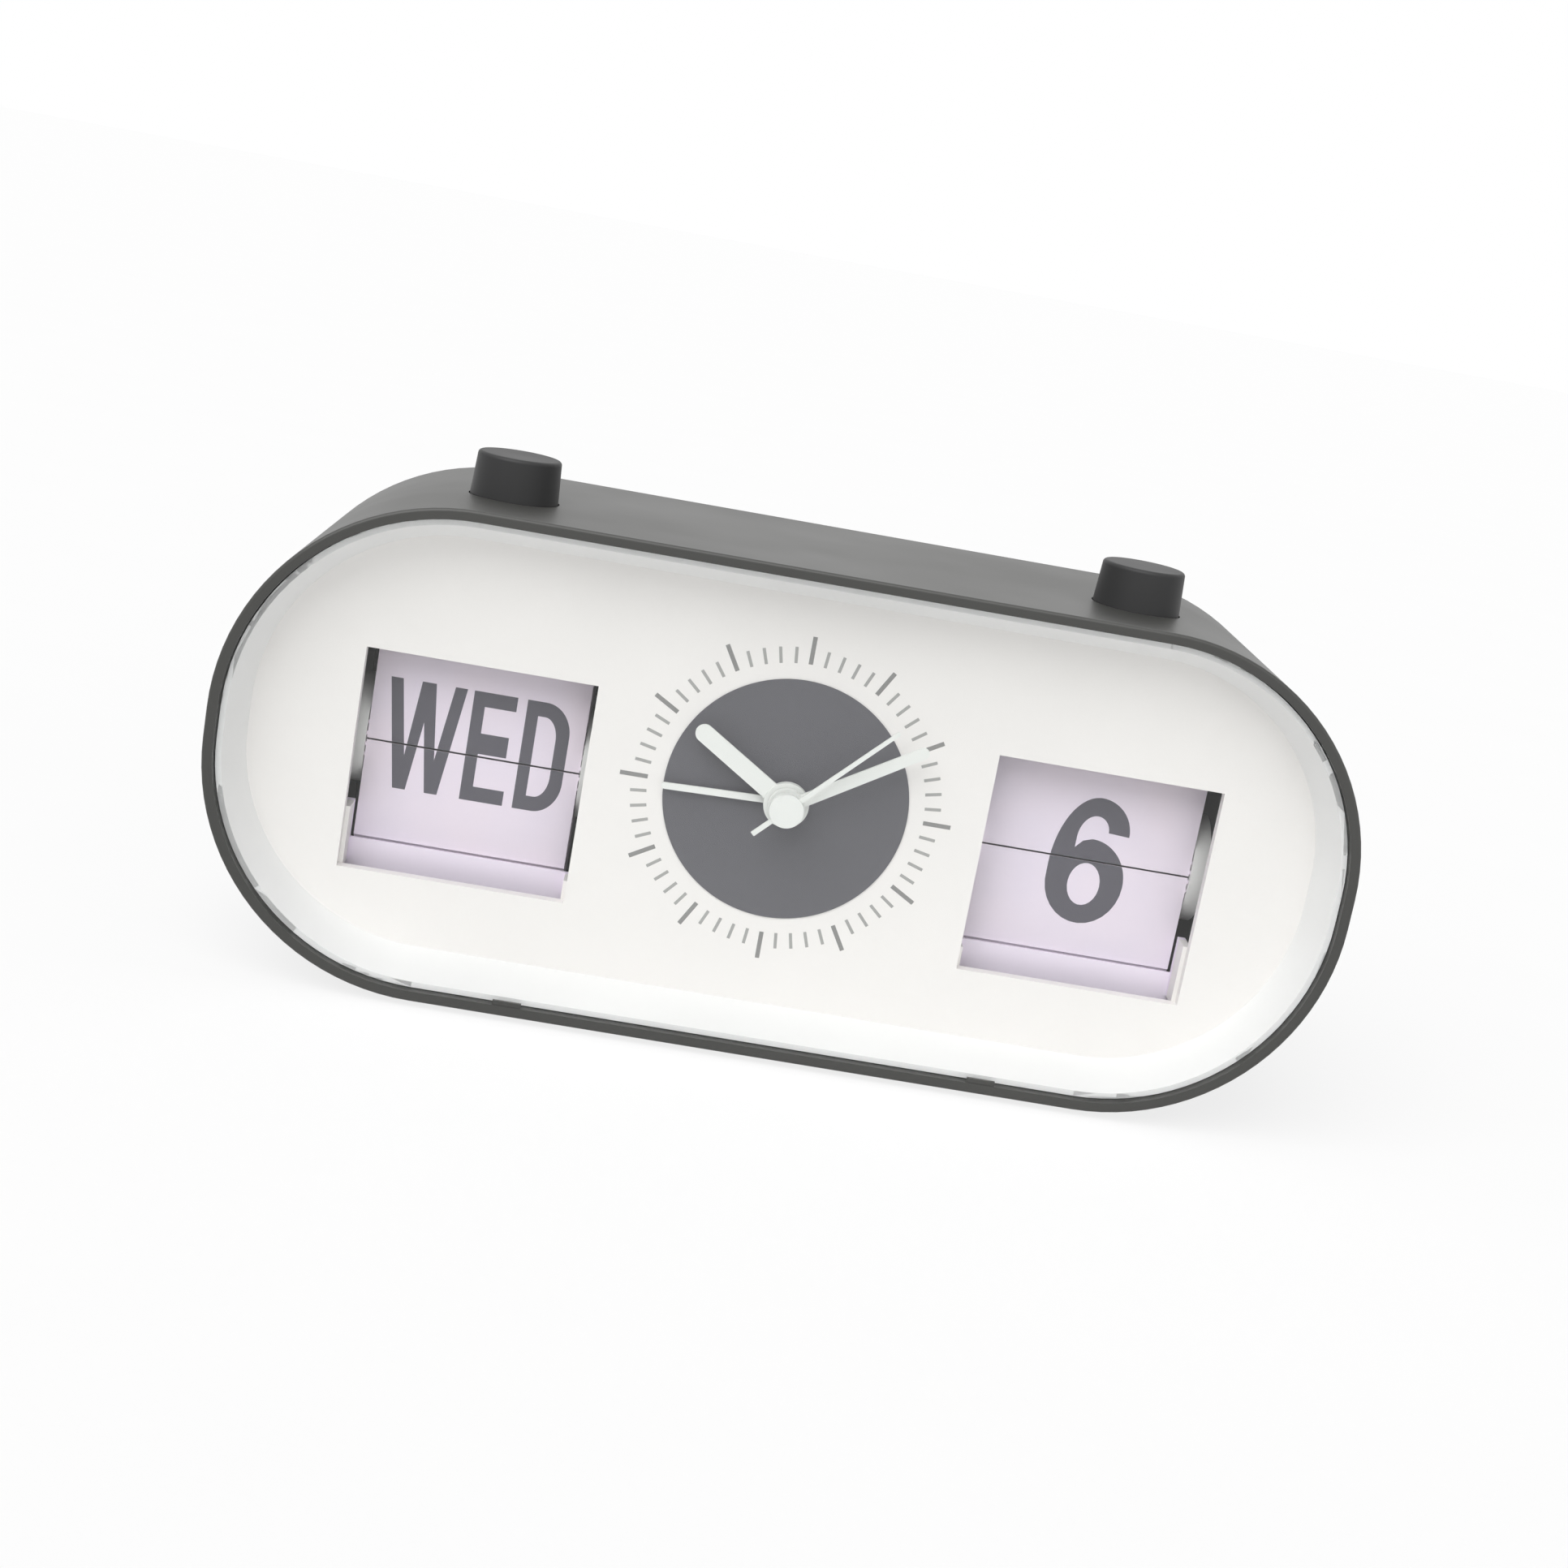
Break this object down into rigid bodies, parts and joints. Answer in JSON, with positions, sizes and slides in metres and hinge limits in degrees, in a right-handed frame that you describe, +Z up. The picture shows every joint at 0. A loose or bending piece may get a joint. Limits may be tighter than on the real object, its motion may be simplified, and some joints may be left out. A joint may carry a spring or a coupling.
{
  "type": "flip clock",
  "caption": "Table alarm clock in a stadium-shaped tube case, with flip-card windows for day and date either side of a small dial and a push button above each window.",
  "frame": {"origin": "On the table under the middle of the clock: the middle of the overall box in X and Y, at the underside of the rubber feet.", "axes": "+Z up, -Y towards the viewer in front of the dial, +X to that viewer's right, along the long side."},
  "size_m": [0.18, 0.061, 0.086],
  "materials": {
    "case_plastic": "satin",
    "button_plastic": "satin",
    "white_plastic": "satin",
    "clear_plastic": "polished",
    "dial_print": "matte",
    "flap_plastic": "matte",
    "frame_plastic": "satin",
    "gear_plastic": "satin",
    "hand_metal": "white lacquer",
    "steel": "plain",
    "spring_steel": "plain",
    "nickel": "plated",
    "copper": "enamelled wire",
    "board": "solder mask",
    "magnet": "plain",
    "rubber": "matte",
    "cell": "printed sleeve"
  },
  "bodies": {
    "case": {"case_shell": "case_plastic", "front_lens": "clear_plastic", "front_bezel": "white_plastic", "dial_plate": "white_plastic", "dial_center_disc": "dial_print", "dial_screws": "steel", "rear_cover": "case_plastic", "cover_screws": "steel", "rubber_feet": "rubber", "battery": "cell", "battery_contacts": "nickel", "buzzer": "button_plastic", "detent_springs": "spring_steel", "day_flip_frame": "frame_plastic", "date_flip_frame": "frame_plastic", "day_return_spring": "spring_steel", "date_return_spring": "spring_steel", "movement_front_plate": "frame_plastic", "movement_housing": "frame_plastic", "circuit_board": "board", "quartz_crystal": "nickel", "motor_stator": "steel", "motor_coil": "copper"},
    "battery_door": {"battery_door": "case_plastic"},
    "alarm_switch": {"alarm_switch_slider": "button_plastic"},
    "rotor": {"motor_rotor": "magnet"},
    "intermediate_wheel": {"intermediate_wheel": "gear_plastic"},
    "second_hand": {"second_wheel": "gear_plastic", "second_hand": "hand_metal"},
    "third_wheel": {"third_wheel": "gear_plastic"},
    "centre_wheel": {"centre_wheel": "gear_plastic"},
    "time_knob": {"time_set_arbor": "gear_plastic", "time_set_knob": "button_plastic"},
    "minute_wheel": {"minute_wheel": "gear_plastic"},
    "minute_hand": {"cannon_pinion": "gear_plastic", "minute_hand": "hand_metal"},
    "hour_hand": {"hour_wheel": "gear_plastic", "hour_hand": "hand_metal"},
    "alarm_knob": {"alarm_set_arbor": "gear_plastic", "alarm_set_knob": "button_plastic"},
    "alarm_hand": {"alarm_wheel": "gear_plastic", "alarm_hand": "hand_metal"},
    "day_button": {"day_button": "button_plastic", "day_plunger": "white_plastic"},
    "day_drum": {"day_drum": "white_plastic", "day_ratchet_wheel": "white_plastic", "day_drum_axle": "steel", "day_flap_stack": "flap_plastic"},
    "day_flap_upper": {"day_flap_upper": "flap_plastic"},
    "day_flap_lower": {"day_flap_lower": "flap_plastic"},
    "date_button": {"date_button": "button_plastic", "date_plunger": "white_plastic"},
    "date_drum": {"date_drum": "white_plastic", "date_ratchet_wheel": "white_plastic", "date_drum_axle": "steel", "date_flap_stack": "flap_plastic"},
    "date_flap_upper": {"date_flap_upper": "flap_plastic"},
    "date_flap_lower": {"date_flap_lower": "flap_plastic"}
  },
  "joints": [
    {"name": "battery_door_swing", "type": "hinge", "parent": "case", "child": "battery_door", "pos_m": [0, 0.0231, 0.00765], "axis": [-1, 0, 0], "range_deg": [0, 95]},
    {"name": "alarm_switch_slide", "type": "slide", "parent": "case", "child": "alarm_switch", "axis": [1, 0, 0], "range_m": [0, 0.004]},
    {"name": "day_button_press", "type": "slide", "parent": "case", "child": "day_button", "axis": [0, 0, -1], "range_m": [0, 0.002], "stiffness_N_per_m": 200, "springref_m": -0.004, "deforming": ["day_return_spring"]},
    {"name": "day_drum_turn", "type": "hinge", "parent": "case", "child": "day_drum", "pos_m": [-0.0503, -0.0045, 0.0374], "axis": [1, 0, 0], "range_deg": [0, 12.86]},
    {"name": "day_flap_fall", "type": "hinge", "parent": "day_drum", "child": "day_flap_upper", "pos_m": [-0.0503, -0.01245, 0.0383], "axis": [1, 0, 0], "range_deg": [0, 167.14]},
    {"name": "day_flap_hang", "type": "hinge", "parent": "day_drum", "child": "day_flap_lower", "pos_m": [-0.0503, -0.01245, 0.0365], "axis": [1, 0, 0], "range_deg": [-12.86, 0]},
    {"name": "date_button_press", "type": "slide", "parent": "case", "child": "date_button", "axis": [0, 0, -1], "range_m": [0, 0.002], "stiffness_N_per_m": 200, "springref_m": -0.004, "deforming": ["date_return_spring"]},
    {"name": "date_drum_turn", "type": "hinge", "parent": "case", "child": "date_drum", "pos_m": [0.0503, -0.0045, 0.0374], "axis": [1, 0, 0], "range_deg": [0, 11.61]},
    {"name": "date_flap_fall", "type": "hinge", "parent": "date_drum", "child": "date_flap_upper", "pos_m": [0.0503, -0.01246, 0.03821], "axis": [1, 0, 0], "range_deg": [0, 168.39]},
    {"name": "date_flap_hang", "type": "hinge", "parent": "date_drum", "child": "date_flap_lower", "pos_m": [0.0503, -0.01246, 0.03659], "axis": [1, 0, 0], "range_deg": [-11.61, 0]},
    {"name": "second_hand_turn", "type": "hinge", "parent": "case", "child": "second_hand", "pos_m": [0, -0.0182, 0.0408], "axis": [0, 1, 0], "continuous": true},
    {"name": "third_wheel_turn", "type": "hinge", "parent": "case", "child": "third_wheel", "pos_m": [-0.00546, -0.0182, 0.04731], "axis": [0, 1, 0], "continuous": true},
    {"name": "centre_wheel_turn", "type": "hinge", "parent": "case", "child": "centre_wheel", "pos_m": [0, -0.0182, 0.0408], "axis": [0, 1, 0], "continuous": true},
    {"name": "intermediate_wheel_turn", "type": "hinge", "parent": "case", "child": "intermediate_wheel", "pos_m": [0.00438, -0.0182, 0.04838], "axis": [0, 1, 0], "continuous": true},
    {"name": "rotor_turn", "type": "hinge", "parent": "case", "child": "rotor", "pos_m": [0.01142, -0.0182, 0.05094], "axis": [0, 1, 0], "continuous": true},
    {"name": "time_knob_turn", "type": "hinge", "parent": "case", "child": "time_knob", "pos_m": [0.0144, -0.0182, 0.03249], "axis": [0, 1, 0], "continuous": true},
    {"name": "minute_wheel_turn", "type": "hinge", "parent": "case", "child": "minute_wheel", "pos_m": [0.0096, -0.0182, 0.0408], "axis": [0, 1, 0], "continuous": true},
    {"name": "minute_hand_turn", "type": "hinge", "parent": "case", "child": "minute_hand", "pos_m": [0, -0.0182, 0.0408], "axis": [0, 1, 0], "continuous": true},
    {"name": "hour_hand_turn", "type": "hinge", "parent": "case", "child": "hour_hand", "pos_m": [0, -0.0182, 0.0408], "axis": [0, 1, 0], "continuous": true},
    {"name": "alarm_knob_turn", "type": "hinge", "parent": "case", "child": "alarm_knob", "pos_m": [-0.00983, -0.0182, 0.03392], "axis": [0, 1, 0], "continuous": true},
    {"name": "alarm_hand_turn", "type": "hinge", "parent": "case", "child": "alarm_hand", "pos_m": [0, -0.0182, 0.0408], "axis": [0, 1, 0], "continuous": true}
  ],
  "couplings": [
    {"joint": "day_drum_turn", "follows": "day_button_press", "rad_per_m": 112.2},
    {"joint": "day_flap_fall", "follows": "day_button_press", "rad_per_m": 1458.6},
    {"joint": "day_flap_hang", "follows": "day_button_press", "rad_per_m": -112.2},
    {"joint": "date_drum_turn", "follows": "date_button_press", "rad_per_m": 101.34},
    {"joint": "date_flap_fall", "follows": "date_button_press", "rad_per_m": 1469.5},
    {"joint": "date_flap_hang", "follows": "date_button_press", "rad_per_m": -101.34},
    {"joint": "third_wheel_turn", "follows": "second_hand_turn", "ratio": -0.13333},
    {"joint": "centre_wheel_turn", "follows": "second_hand_turn", "ratio": 0.016667},
    {"joint": "intermediate_wheel_turn", "follows": "second_hand_turn", "ratio": -6},
    {"joint": "rotor_turn", "follows": "second_hand_turn", "ratio": 30},
    {"joint": "minute_wheel_turn", "follows": "time_knob_turn", "ratio": -0.33333},
    {"joint": "minute_hand_turn", "follows": "time_knob_turn", "ratio": 1},
    {"joint": "hour_hand_turn", "follows": "time_knob_turn", "ratio": 0.083333},
    {"joint": "alarm_hand_turn", "follows": "alarm_knob_turn", "ratio": -0.66667}
  ]
}
